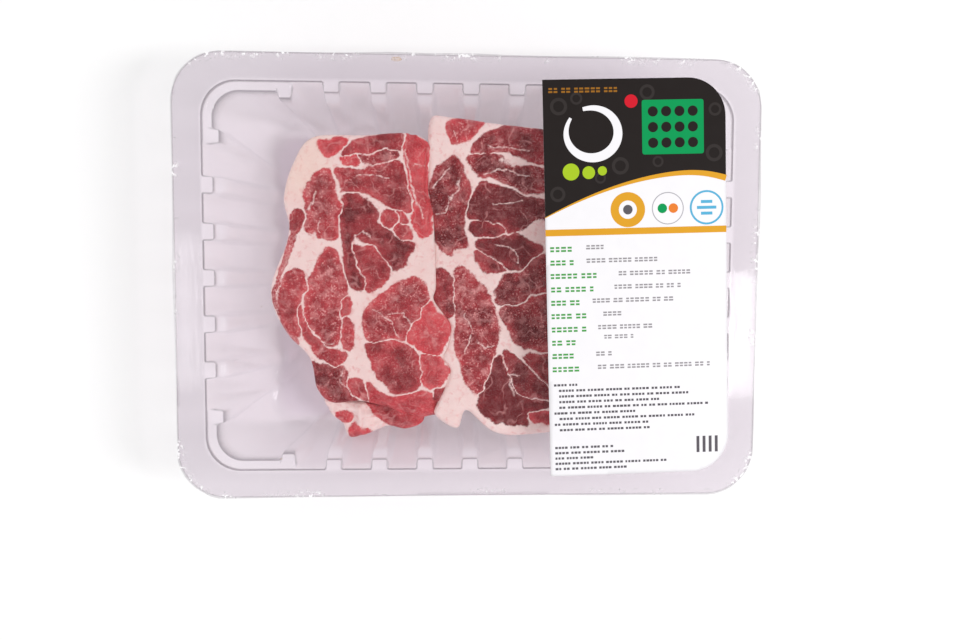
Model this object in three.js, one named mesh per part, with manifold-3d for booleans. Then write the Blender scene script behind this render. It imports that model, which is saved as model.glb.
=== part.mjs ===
// Tray pack of fresh meat: a clear ribbed tray, a sealed lid film with a label, and slices of meat.
// Millimetres, +Z up, long side along X, standing on the tray's flat underside at z = 0.

import * as THREE from 'three';
import { mergeVertices } from 'three/addons/utils/BufferGeometryUtils.js';
import Module from 'manifold-3d';

// Rounded rectangles of the tray: half length, half width and corner radius
const FLANGE = { a: 115, b: 86.8, r: 19 };
const MOUTH = { a: 103.9, b: 75.9, r: 13.5 };
const FLOOR = { a: 84, b: 62, r: 13 };

// Tray heights and wall
const TRAY_HEIGHT = 43;
const WALL = 0.6;
const LIP_DROP = 0.9;

// Ribs of the side walls
const RIB_PITCH = 18.05;
const LONG_RIBS = 3;
const SHORT_RIBS = 2;
const RIB_ROOT = 3.7;
const RIB_TIP = 2.6;
const LONG_PAD_AT = 72.6;
const SHORT_PAD_AT = 55.2;
const PAD_HALF = 3.6;
const PAD_TIP = 2.1;
const CORNER_STEPS = 8;

// Film and label sheets
const FILM_THICKNESS = 0.2;
const LABEL_THICKNESS = 0.15;
const SHEET_GAP = 0.05;
const LABEL = { x: 66.2, y: 0.4, length: 156.8, width: 72.4, cornerRadius: 15, turn: 1.8 };

// Slices of meat
const FLOOR_CLEARANCE = 0.3;
const LAYER_GAP = 0.4;
const LOWER_THICKNESS = 14;
const UPPER_THICKNESS = 14;
const LOWER_END_TOP = 24;
const SLICE_ROUNDING = 2.5;
const END_ROUNDING = 0.8;
const SEAM_GAP = 0.8;

const trayMaterial = new THREE.MeshStandardMaterial({ color: 0xdcd6de, roughness: 0.15 });
const filmMaterial = new THREE.MeshStandardMaterial({ color: 0xf0eef2, roughness: 0.1 });
const labelMaterial = new THREE.MeshStandardMaterial({ color: 0xf7f5f6, roughness: 0.5 });
const meatMaterial = new THREE.MeshStandardMaterial({ color: 0xa84650, roughness: 0.4 });

const pack = new THREE.Group();
pack.name = 'meat_tray_pack';

function addMesh(name, geometry, material) {
  const mesh = new THREE.Mesh(geometry, material);
  mesh.name = name;
  pack.add(mesh);
  return mesh;
}

// Profiles of the wall, from the mouth down to the floor.
// Each step is [height, share of the way from mouth to floor outline, inward step].
const TOP = TRAY_HEIGHT;
const PROFILES = {
  lobe: [
    [TOP, 0, 0], [TOP - 0.6, 0.02, 0.3], [TOP - 3, 0.06, 0.3], [TOP - 4, 0.08, 0.3],
    [24, 0.3, 0.2], [9, 0.56, 0], [2.8, 0.78, 0], [WALL, 1, 0],
  ],
  rib: [
    [TOP, 0, 0], [TOP - 0.8, 0.02, 4], [TOP - 3, 0.06, 4.2], [TOP - 4, 0.08, 6.5],
    [24, 0.3, 5.4], [9, 0.56, 4], [2.8, 0.78, 2.6], [WALL, 1, 1.7],
  ],
  shelf: [
    [TOP, 0, 0], [TOP - 2.2, 0.02, 0.4], [TOP - 2.6, 0.03, 3], [TOP - 3.7, 0.06, 3.3],
    [24, 0.3, 1.6], [9, 0.56, 0], [2.8, 0.78, 0], [WALL, 1, 0],
  ],
  pad: [
    [TOP, 0, 0], [TOP - 2.2, 0.02, 0.4], [TOP - 2.6, 0.03, 5.6], [TOP - 3.7, 0.06, 6.2],
    [24, 0.3, 4.6], [9, 0.56, 3], [2.8, 0.78, 1.6], [WALL, 1, 1],
  ],
};

// Places along one side of the tray, each with the profile that the wall has there
function sideStations(ribs, padAt) {
  const half = [];
  for (let rib = 1; rib <= ribs; rib += 1) {
    const middle = rib * RIB_PITCH;
    half.push([middle - RIB_ROOT, 'lobe'], [middle - RIB_TIP, 'rib']);
    half.push([middle + RIB_TIP, 'rib'], [middle + RIB_ROOT, 'lobe']);
  }
  half.push([padAt - PAD_HALF, 'lobe'], [padAt - PAD_TIP, 'pad']);
  half.push([padAt + PAD_TIP, 'pad'], [padAt + PAD_HALF, 'shelf']);
  const middleRib = [[-RIB_ROOT, 'lobe'], [-RIB_TIP, 'rib'], [RIB_TIP, 'rib'], [RIB_ROOT, 'lobe']];
  const mirrored = half.map(([along, kind]) => [-along, kind]).reverse();
  return [...mirrored, ...middleRib, ...half];
}

const SIDES = [
  { long: true, stations: sideStations(LONG_RIBS, LONG_PAD_AT), keep: 62 },
  { long: false, stations: sideStations(SHORT_RIBS, SHORT_PAD_AT), keep: 43 },
];

// Every station around the tray, counter-clockwise: four sides with a corner after each
function trayStations() {
  const stations = [];
  for (let side = 0; side < 4; side += 1) {
    for (const [along, kind] of SIDES[side % 2].stations) {
      stations.push({ side, along, kind, turn: 0 });
    }
    for (let step = 0; step <= CORNER_STEPS; step += 1) {
      stations.push({ side, along: null, kind: 'shelf', turn: step / CORNER_STEPS * Math.PI / 2 });
    }
  }
  return stations;
}

// Point of a rounded rectangle at a station, moved inward by the given step
function outlinePoint(outline, station, inward) {
  const { long, keep } = SIDES[station.side % 2];
  const angle = station.side * Math.PI / 2;
  const along = new THREE.Vector2(Math.cos(angle), Math.sin(angle));
  const outward = new THREE.Vector2(along.y, -along.x);
  const straight = (long ? outline.a : outline.b) - outline.r;
  const mouthStraight = (long ? MOUTH.a : MOUTH.b) - MOUTH.r;
  const distance = long ? outline.b : outline.a;
  if (station.along === null) {
    const normal = outward.clone().multiplyScalar(Math.cos(station.turn));
    normal.addScaledVector(along, Math.sin(station.turn));
    const point = outward.clone().multiplyScalar(distance - outline.r).addScaledVector(along, straight);
    return point.addScaledVector(normal, outline.r - inward);
  }
  let place = Math.abs(station.along);
  if (place > keep) {
    place = keep + (place - keep) * (straight - keep) / (mouthStraight - keep);
  }
  place *= Math.sign(station.along);
  return outward.multiplyScalar(distance - inward).addScaledVector(along, place);
}

function blendOutline(share) {
  return {
    a: THREE.MathUtils.lerp(MOUTH.a, FLOOR.a, share),
    b: THREE.MathUtils.lerp(MOUTH.b, FLOOR.b, share),
    r: THREE.MathUtils.lerp(MOUTH.r, FLOOR.r, share),
  };
}

// Upper surface of the tray as rings of points, from the flange's edge to the floor
function trayRings() {
  const stations = trayStations();
  const edge = { a: FLANGE.a - 0.8, b: FLANGE.b - 0.8, r: FLANGE.r - 0.8 };
  const rings = [
    stations.map((station) => [outlinePoint(FLANGE, station, 0), TOP - LIP_DROP]),
    stations.map((station) => [outlinePoint(edge, station, 0), TOP]),
  ];
  for (let step = 0; step < PROFILES.lobe.length; step += 1) {
    rings.push(stations.map((station) => {
      const [height, share, inward] = PROFILES[station.kind][step];
      return [outlinePoint(blendOutline(share), station, inward), height];
    }));
  }
  return rings.map((ring) => ring.map(([point, height]) => new THREE.Vector3(point.x, point.y, height)));
}

// Share of a corner's turn by which an offset point moves further than the wall is thick
function cornerStretch(before, point, after) {
  const first = point.clone().sub(before).normalize();
  const second = after.clone().sub(point).normalize();
  return 1 / Math.sqrt(Math.max(0.5, (1 + first.dot(second)) / 2));
}

// Under surface: every point moved through the wall, square to the surface
function lowerRings(rings) {
  const count = rings[0].length;
  const last = rings.length - 1;
  return rings.map((ring, level) => ring.map((point, index) => {
    const left = ring[(index + count - 1) % count];
    const right = ring[(index + 1) % count];
    const above = rings[Math.max(level - 1, 0)][index];
    const below = level < last ? rings[level + 1][index] : point.clone().setLength(point.length() * 0.9);
    const around = right.clone().sub(point).normalize().add(point.clone().sub(left).normalize());
    const down = below.clone().sub(point).normalize();
    if (level > 0) {
      down.add(point.clone().sub(above).normalize());
    }
    const normal = down.cross(around).normalize();
    let depth = WALL * cornerStretch(left, point, right);
    if (level > 0 && level < last) {
      depth *= cornerStretch(above, point, below);
    }
    const moved = point.clone().addScaledVector(normal, depth);
    if (level === last) {
      moved.z = 0;
    }
    return moved;
  }));
}

function trayGeometry() {
  const upper = trayRings();
  const lower = lowerRings(upper);
  const count = upper[0].length;
  const corners = [];
  const quad = (a, b, c, d) => corners.push(a, b, c, a, c, d);
  for (let index = 0; index < count; index += 1) {
    const next = (index + 1) % count;
    for (let level = 0; level + 1 < upper.length; level += 1) {
      quad(upper[level][index], upper[level][next], upper[level + 1][next], upper[level + 1][index]);
      quad(lower[level][index], lower[level + 1][index], lower[level + 1][next], lower[level][next]);
    }
    quad(upper[0][index], lower[0][index], lower[0][next], upper[0][next]);
    const floorRing = upper[upper.length - 1];
    const baseRing = lower[lower.length - 1];
    corners.push(floorRing[index], floorRing[next], new THREE.Vector3(0, 0, WALL));
    corners.push(baseRing[next], baseRing[index], new THREE.Vector3(0, 0, 0));
  }
  return new THREE.BufferGeometry().setFromPoints(corners);
}

addMesh('tray', trayGeometry(), trayMaterial);

// Lid film, sealed to the flange
function roundedShape(a, b, radii) {
  const shape = new THREE.Shape();
  const [bottomRight, topRight, topLeft, bottomLeft] = radii;
  shape.moveTo(-a + bottomLeft, -b);
  shape.lineTo(a - bottomRight, -b);
  shape.absarc(a - bottomRight, -b + bottomRight, bottomRight, -Math.PI / 2, 0);
  shape.lineTo(a, b - topRight);
  shape.absarc(a - topRight, b - topRight, topRight, 0, Math.PI / 2);
  shape.lineTo(-a + topLeft, b);
  shape.absarc(-a + topLeft, b - topLeft, topLeft, Math.PI / 2, Math.PI);
  shape.lineTo(-a, -b + bottomLeft);
  shape.absarc(-a + bottomLeft, -b + bottomLeft, bottomLeft, Math.PI, 1.5 * Math.PI);
  return shape;
}

function sheet(shape, thickness) {
  return new THREE.ExtrudeGeometry(shape, { depth: thickness, bevelEnabled: false, curveSegments: 8 });
}

const filmRadii = [FLANGE.r, FLANGE.r, FLANGE.r, FLANGE.r];
const film = addMesh('lid_film', sheet(roundedShape(FLANGE.a, FLANGE.b, filmRadii), FILM_THICKNESS), filmMaterial);
film.position.z = TRAY_HEIGHT + SHEET_GAP;

// Label on the film, square at its left end and rounded at its right
const labelRadii = [LABEL.cornerRadius, LABEL.cornerRadius, 0.5, 0.5];
const labelShape = roundedShape(LABEL.width / 2, LABEL.length / 2, labelRadii);
const label = addMesh('label', sheet(labelShape, LABEL_THICKNESS), labelMaterial);
label.position.set(LABEL.x, LABEL.y, film.position.z + FILM_THICKNESS + SHEET_GAP);
label.rotation.z = THREE.MathUtils.degToRad(LABEL.turn);

// Line where the two upper slices meet, from the far side to the near side
const SEAM = [
  [-17, 55], [-16.8, 45], [-17.3, 37], [-15.4, 28], [-14.4, 12], [-14, -3], [-14.8, -9],
  [-8, -19], [-9, -28], [-11, -33], [-8, -39], [-12.7, -51], [-14, -57],
];
const LEFT_SLICE = [
  [-23, -58], [-34, -54], [-45, -51], [-57, -51], [-63, -46], [-66, -33], [-75, -23], [-81, -11],
  [-81, -1], [-75, 13], [-74, 22], [-76, 33], [-72, 47], [-64, 58], [-44, 58], [-25, 59],
];
const RIGHT_SLICE = [
  [-15.5, 64], [-8, 64.5], [12, 63], [34, 61.5], [56, 58], [70, 44], [75, 16], [74, -20], [67, -48],
  [50, -61], [24, -64.3], [10, -63], [-1, -55], [-5, -62],
];
const LOWER_SLICE = [
  [-66, -36], [-58, -54], [-48, -58], [-30, -58], [-5, -52], [45, -52], [66, -36], [68, 6],
  [60, 40], [30, 52], [-20, 53], [-58, 50], [-70, 20], [-74, -10],
];
const LOWER_END = [
  [-60.5, -55], [-56, -61], [-49, -66], [-42, -65], [-33, -63.2], [-24, -64], [-19.5, -63],
  [-19.5, -60.6], [-25, -59.4], [-35, -55.8], [-46, -53], [-56, -53], [-60, -52.6],
];

function curvedShape(points, samples) {
  const corners = points.map(([x, y]) => new THREE.Vector3(x, y, 0));
  const curve = new THREE.CatmullRomCurve3(corners, true, 'centripetal');
  const outline = curve.getPoints(samples).slice(0, samples);
  return new THREE.Shape(outline.map((point) => new THREE.Vector2(point.x, point.y)));
}

// A slice with rounded edges, from one height to another
function slab(points, bottom, top, rounding, samples) {
  const geometry = new THREE.ExtrudeGeometry(curvedShape(points, samples), {
    bevelThickness: rounding,
    bevelSize: rounding,
    bevelOffset: -rounding,
    bevelSegments: 3,
    depth: top - bottom - 2 * rounding,
  });
  return geometry.translate(0, 0, bottom + rounding);
}

const shifted = (points, step) => points.map(([x, y]) => [x + step, y]);
const lowerBottom = WALL + FLOOR_CLEARANCE;
const upperBottom = lowerBottom + LOWER_THICKNESS + LAYER_GAP;
const upperTop = upperBottom + UPPER_THICKNESS;
const leftOutline = [...shifted(SEAM, -SEAM_GAP), ...LEFT_SLICE];
const rightOutline = [...RIGHT_SLICE, ...shifted(SEAM, SEAM_GAP).reverse()];
addMesh('slice_left', slab(leftOutline, upperBottom, upperTop, SLICE_ROUNDING, 70), meatMaterial);
addMesh('slice_right', slab(rightOutline, upperBottom, upperTop, SLICE_ROUNDING, 80), meatMaterial);

// Lower slice, whose end turns up against the near wall, as one closed body
const manifold = await Module();
manifold.setup();

function toSolid(geometry) {
  geometry.deleteAttribute('normal');
  geometry.deleteAttribute('uv');
  const merged = mergeVertices(geometry, 1e-4);
  return new manifold.Manifold(new manifold.Mesh({
    numProp: 3,
    vertProperties: new Float32Array(merged.attributes.position.array),
    triVerts: new Uint32Array(merged.index.array),
  }));
}

function toGeometry(solid) {
  const mesh = solid.getMesh();
  const geometry = new THREE.BufferGeometry();
  geometry.setAttribute('position', new THREE.BufferAttribute(mesh.vertProperties, 3));
  geometry.setIndex(new THREE.BufferAttribute(mesh.triVerts, 1));
  return geometry;
}

const lowerTop = lowerBottom + LOWER_THICKNESS;
const lowerBody = toSolid(slab(LOWER_SLICE, lowerBottom, lowerTop, SLICE_ROUNDING, 60));
const lowerEnd = toSolid(slab(LOWER_END, lowerTop - 3, LOWER_END_TOP, END_ROUNDING, 50));
addMesh('slice_lower', toGeometry(manifold.Manifold.union(lowerBody, lowerEnd)), meatMaterial);

export default pack;
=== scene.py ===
"""Sealed tray pack of raw pork slices on a pale studio floor.

Sizes are in millimetres until they reach a mesh.
"""

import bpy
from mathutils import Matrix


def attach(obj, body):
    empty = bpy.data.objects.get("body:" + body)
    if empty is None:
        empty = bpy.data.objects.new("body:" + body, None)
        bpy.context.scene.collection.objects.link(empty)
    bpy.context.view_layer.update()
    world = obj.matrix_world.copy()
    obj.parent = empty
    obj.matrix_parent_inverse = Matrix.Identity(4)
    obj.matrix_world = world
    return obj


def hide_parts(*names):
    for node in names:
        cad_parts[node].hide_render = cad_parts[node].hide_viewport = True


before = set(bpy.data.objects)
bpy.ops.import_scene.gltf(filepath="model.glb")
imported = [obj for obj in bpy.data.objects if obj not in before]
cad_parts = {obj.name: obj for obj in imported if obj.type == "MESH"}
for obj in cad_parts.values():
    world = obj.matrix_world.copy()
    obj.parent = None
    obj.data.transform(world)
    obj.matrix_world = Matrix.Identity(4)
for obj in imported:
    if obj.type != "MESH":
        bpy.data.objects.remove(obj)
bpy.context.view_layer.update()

import math

import bpy
import numpy as np
from mathutils import Matrix

MM = 0.001

# Tray
TOP = 43.0
FLANGE = (115.0, 86.8, 19.0)
MOUTH = (103.9, 75.9, 13.5)
FLOOR = (84.0, 62.0, 13.0)
RIB_PITCH = 18.05
RIB_ROOT, RIB_TIP = 3.7, 2.6
PAD_HALF, PAD_TIP = 3.6, 2.1
SHELF_END = 0.5
# How much wider the turns of shelf, ribs and pads get down the wall: outer foot and top
SHELF_SOFTER, RIB_SOFTER, PAD_SOFTER = 5.0, (1.4, 0.9), (3.0, 1.6)
LONG_SIDE = {"ribs": 3, "pad": 72.6, "keep": 62.0}
SHORT_SIDE = {"ribs": 2, "pad": 55.2, "keep": 43.0}

# Sheets on the tray
FILM_LEVEL = 43.1
FILM_CELL, LABEL_CELL = 1.2, 1.5
LABEL_LEVEL = 43.34
LABEL_CENTRE = (66.2, 0.4)
LABEL_SIZE = (72.4, 156.8)
LABEL_CORNER, LABEL_SHARP_CORNER = 15.0, 0.4
LABEL_THICKNESS = 0.14
LABEL_TURN = math.radians(1.8)
PRINT_STEP = 0.014

# Slices
UPPER_BOTTOM, UPPER_TOP = 15.3, 29.3
LOWER_BOTTOM, LOWER_TOP, LOWER_END_TOP = 0.9, 14.9, 23.4
HALF_SEAM = 0.15
SLICE_CELL = 0.4
# Rounding and height of a slice's top edge, and what a cut side that shows from above adds to them
EDGE_ROUNDING, EDGE_HEIGHT = 3.2, 2.6
SIDE_ROUNDING, SIDE_HEIGHT = 5.0, 4.2
SEAM_SIDE_ROUNDING, SEAM_SIDE_HEIGHT = 6.0, 5.4
# The slice's side below its edge: share of the way down, and the step inward there
SIDE_STEPS = ((0.25, -0.35), (0.6, -0.25), (0.88, 0.5), (1.0, 2.0))


# Numbers and outlines

def smoothstep(low, high, value):
    t = np.clip((value - low) / (high - low), 0, 1)
    return t * t * (3 - 2 * t)


def hills(x, y, size, seed):
    """Smooth random hills of about that size, from -1 to 1."""
    table = np.random.default_rng(seed).uniform(-1, 1, (64, 64))
    u, v = np.asarray(x) / size, np.asarray(y) / size
    i, j = np.floor(u).astype(int), np.floor(v).astype(int)
    s, t = u - i, v - j
    s, t = s * s * (3 - 2 * s), t * t * (3 - 2 * t)
    low = table[i % 64, j % 64] * (1 - s) + table[(i + 1) % 64, j % 64] * s
    high = table[i % 64, (j + 1) % 64] * (1 - s) + table[(i + 1) % 64, (j + 1) % 64] * s
    return low * (1 - t) + high * t


def smooth_loop(points, steps=6):
    """A closed curve through the points."""
    p = np.array(points, float)
    before, after, later = np.roll(p, 1, 0), np.roll(p, -1, 0), np.roll(p, -2, 0)
    spans = []
    for t in np.arange(steps) / steps:
        spans.append(0.5 * (2 * p + (after - before) * t + (2 * before - 5 * p + 4 * after - later) * t ** 2
                            + (3 * p - before - 3 * after + later) * t ** 3))
    return np.stack(spans, 1).reshape(-1, 2)


def rounded_rectangle(half_x, half_y, radii, steps=10):
    """Corner radii run from the one at +X +Y, counter-clockwise."""
    points = []
    for turn, radius, sx, sy in zip((0, 1, 2, 3), radii, (1, -1, -1, 1), (1, 1, -1, -1)):
        for step in range(steps + 1):
            angle = (turn + step / steps) * math.pi / 2
            points.append((sx * (half_x - radius) + radius * math.cos(angle),
                           sy * (half_y - radius) + radius * math.sin(angle)))
    return np.array(points)


def distance_inside(x, y, loop, reach=None):
    """Distance inside a closed loop, negative outside, and the loop's nearest point.

    Past reach it isn't worked out.
    """
    near_x, near_y = np.zeros_like(x), np.zeros_like(y)
    best = np.full(x.shape, 1e9 if reach is None else reach * reach)
    inside = np.zeros(x.shape, bool)
    chosen = np.ones(x.shape, bool)
    if reach is not None:
        low, high = loop.min(0) - reach, loop.max(0) + reach
        chosen = (x > low[0]) & (x < high[0]) & (y > low[1]) & (y < high[1])
    px, py = x[chosen], y[chosen]
    part_best, part_inside = best[chosen], inside[chosen]
    part_x, part_y = near_x[chosen], near_y[chosen]
    for (ax, ay), (bx, by) in zip(loop, np.roll(loop, -1, 0)):
        dx, dy = bx - ax, by - ay
        t = np.clip(((px - ax) * dx + (py - ay) * dy) / max(dx * dx + dy * dy, 1e-12), 0, 1)
        qx, qy = ax + t * dx, ay + t * dy
        d = (px - qx) ** 2 + (py - qy) ** 2
        closer = d < part_best
        part_best[closer], part_x[closer], part_y[closer] = d[closer], qx[closer], qy[closer]
        if ay != by:
            part_inside ^= ((ay > py) != (by > py)) & (px < dx * (py - ay) / dy + ax)
    best[chosen], inside[chosen], near_x[chosen], near_y[chosen] = part_best, part_inside, part_x, part_y
    return np.where(inside, 1, -1) * np.sqrt(best), near_x, near_y


def line_distance(x, y, points):
    """Distance to an open line through the points."""
    best = np.full(x.shape, 1e9)
    for (ax, ay), (bx, by) in zip(points[:-1], points[1:]):
        dx, dy = bx - ax, by - ay
        t = np.clip(((x - ax) * dx + (y - ay) * dy) / (dx * dx + dy * dy), 0, 1)
        best = np.minimum(best, np.hypot(x - ax - t * dx, y - ay - t * dy))
    return best


def clipped_grid(loop, cell):
    """A square grid cut to a loop.

    It gives the points, their depth inside, the faces, the edge's ordered pairs and the nearest edge points.
    """
    low, high = loop.min(0) - cell, loop.max(0) + cell
    xs, ys = np.arange(low[0], high[0] + cell, cell), np.arange(low[1], high[1] + cell, cell)
    gx, gy = np.meshgrid(xs, ys, indexing="ij")
    middle, _, _ = distance_inside(gx[:-1, :-1] + cell / 2, gy[:-1, :-1] + cell / 2, loop)
    kept = middle > 0
    number = np.arange(gx.size).reshape(gx.shape)
    quads = np.stack([number[:-1, :-1], number[1:, :-1], number[1:, 1:], number[:-1, 1:]], -1)[kept]
    used, faces = np.unique(quads, return_inverse=True)
    faces = faces.reshape(quads.shape)
    x, y = gx.ravel()[used], gy.ravel()[used]
    pairs = np.concatenate([faces[:, [k, (k + 1) % 4]] for k in range(4)])
    key, back = pairs[:, 0] * len(used) + pairs[:, 1], pairs[:, 1] * len(used) + pairs[:, 0]
    rim = pairs[~np.isin(key, back)]
    depth, near_x, near_y = distance_inside(x, y, loop)
    edge = np.unique(rim)
    x[edge], y[edge], depth[edge] = near_x[edge], near_y[edge], 0
    return x, y, np.maximum(depth, 0), faces, rim, near_x, near_y


# Pieces and materials

def add_piece(name, points, faces, materials, node, smooth=True):
    """A mesh piece that rides on the root and may stand for a node of the frame."""
    mesh = bpy.data.meshes.new(name)
    mesh.from_pydata((np.asarray(points, float) * MM).tolist(), [], [list(map(int, face)) for face in faces])
    mesh.polygons.foreach_set("use_smooth", [smooth] * len(mesh.polygons))
    for material in materials:
        mesh.materials.append(material)
    piece = bpy.data.objects.new(name, mesh)
    bpy.context.scene.collection.objects.link(piece)
    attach(piece, "root")
    if node:
        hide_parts(node)
    return piece


def add_values(piece, **values):
    for name, numbers in values.items():
        layer = piece.data.attributes.new(name, "FLOAT", "POINT")
        layer.data.foreach_set("value", np.asarray(numbers, np.float32))


def srgb(red, green, blue):
    """Display values from 0 to 255 as scene-linear ones."""
    share = np.array([red, green, blue]) / 255
    linear = np.where(share <= 0.04045, share / 12.92, ((share + 0.055) / 1.055) ** 2.4)
    return (*linear.tolist(), 1.0)


class Surface:
    """A material's node tree, with short ways to add nodes to it."""

    def __init__(self, name):
        self.material = bpy.data.materials.new(name)
        self.material.use_nodes = True
        self.tree = self.material.node_tree
        self.tree.nodes.clear()
        self.output = self.tree.nodes.new("ShaderNodeOutputMaterial")
        self.place = self.add("ShaderNodeTexCoord").outputs["Object"]

    def add(self, kind, settings=None, **inputs):
        node = self.tree.nodes.new(kind)
        for name, value in (settings or {}).items():
            setattr(node, name, value)
        for name, value in inputs.items():
            self.feed(node.inputs[name.replace("_", " ")], value)
        return node

    def feed(self, socket, value):
        if isinstance(value, bpy.types.NodeSocket):
            self.tree.links.new(value, socket)
        else:
            socket.default_value = value

    def noise(self, size, detail=3.0, roughness=0.5, distortion=0.0, place=None):
        """Noise with features of about that many millimetres, from 0 to 1."""
        node = self.add("ShaderNodeTexNoise", Vector=place or self.place, Scale=1 / (size * MM),
                        Detail=detail, Roughness=roughness, Distortion=distortion)
        return node.outputs["Fac"]

    def spread(self, value, from_low, from_high, to_low=0.0, to_high=1.0):
        node = self.add("ShaderNodeMapRange", {"interpolation_type": "SMOOTHSTEP"}, Value=value)
        ends = {"From Min": from_low, "From Max": from_high, "To Min": to_low, "To Max": to_high}
        for name, number in ends.items():
            node.inputs[name].default_value = number
        return node.outputs["Result"]

    def math(self, operation, first, second=0.0):
        node = self.add("ShaderNodeMath", {"operation": operation})
        self.feed(node.inputs[0], first)
        self.feed(node.inputs[1], second)
        return node.outputs[0]

    def blend(self, share, first, second):
        node = self.add("ShaderNodeMix", {"data_type": "RGBA"})
        self.feed(node.inputs[0], share)
        self.feed(node.inputs[6], first)
        self.feed(node.inputs[7], second)
        return node.outputs[2]

    def value(self, name):
        return self.add("ShaderNodeAttribute", {"attribute_name": name}).outputs["Fac"]

    def layer(self, share, under, over):
        node = self.add("ShaderNodeMixShader", Fac=share)
        self.tree.links.new(under, node.inputs[1])
        self.tree.links.new(over, node.inputs[2])
        return node.outputs[0]

    def finish(self, shader):
        self.tree.links.new(shader, self.output.inputs["Surface"])
        return self.material


def clear_plastic(name, tint, steep_tint, body_colour, body_share, roughness, streak_height,
                  crumpled=False):
    """Thin clear plastic: see-through, a little milky, darker where steep, with painted shade along the fine
    lines of its bends and, when asked, painted glints as white flecks.
    """
    s = Surface(name)
    facing = s.add("ShaderNodeLayerWeight", Blend=0.35).outputs["Facing"]
    # Painted shade: the line value darkens the see-through colour along the bends, where the bent plastic
    # refracts.
    line = s.math("MULTIPLY", s.value("line"), 0.7)
    steep = s.blend(s.spread(facing, 0.25, 0.95), tint, steep_tint)
    through = s.add("ShaderNodeBsdfTransparent", Color=s.blend(line, steep, (0.3, 0.27, 0.3, 1))).outputs[0]
    long_way = s.add("ShaderNodeVectorMath", {"operation": "MULTIPLY"})
    s.feed(long_way.inputs[0], s.place)
    long_way.inputs[1].default_value = (1.0, 0.12, 1.0)
    streaks = s.add("ShaderNodeBump", Height=s.noise(2.6, 2.0, place=long_way.outputs[0]), Strength=1.0,
                    Distance=streak_height * MM).outputs[0]
    mottle = s.spread(s.noise(9.0), 0.3, 0.7, roughness * 0.8, roughness * 1.3)
    # The same painted shade darkens the milky body along the bend lines.
    colour = s.blend(line, body_colour, srgb(120, 108, 116))
    # Painted glints: white flecks in the milky body stand for sparkles of light on the film's edge.
    if crumpled:
        flecks = s.spread(s.noise(1.5, 2.0), 0.52, 0.62, 0.0, 0.95)
        painted_glint_share = s.math("MULTIPLY", s.value("crumple"), flecks)
        colour = s.blend(painted_glint_share, colour, srgb(254, 252, 254))
        body_share = s.math("MAXIMUM", painted_glint_share, body_share)
    body = s.add("ShaderNodeBsdfDiffuse", Color=colour).outputs[0]
    shine = s.add("ShaderNodeBsdfGlossy", Color=(1, 1, 1, 1), Roughness=mottle, Normal=streaks).outputs[0]
    mirror = s.add("ShaderNodeFresnel", IOR=1.28, Normal=streaks).outputs[0]
    return s.finish(s.layer(mirror, s.layer(body_share, through, body), shine))


def printed(name, colour, roughness=0.5):
    """Label stock or ink, with a faint mottle."""
    s = Surface(name)
    lighter = tuple(min(1.0, part * 1.06 + 0.002) for part in colour[:3]) + (1.0,)
    body = s.add("ShaderNodeBsdfPrincipled", Base_Color=s.blend(s.noise(5.0), colour, lighter),
                 Roughness=roughness)
    body.inputs["Specular IOR Level"].default_value = 0.06
    return s.finish(body.outputs[0])


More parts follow.
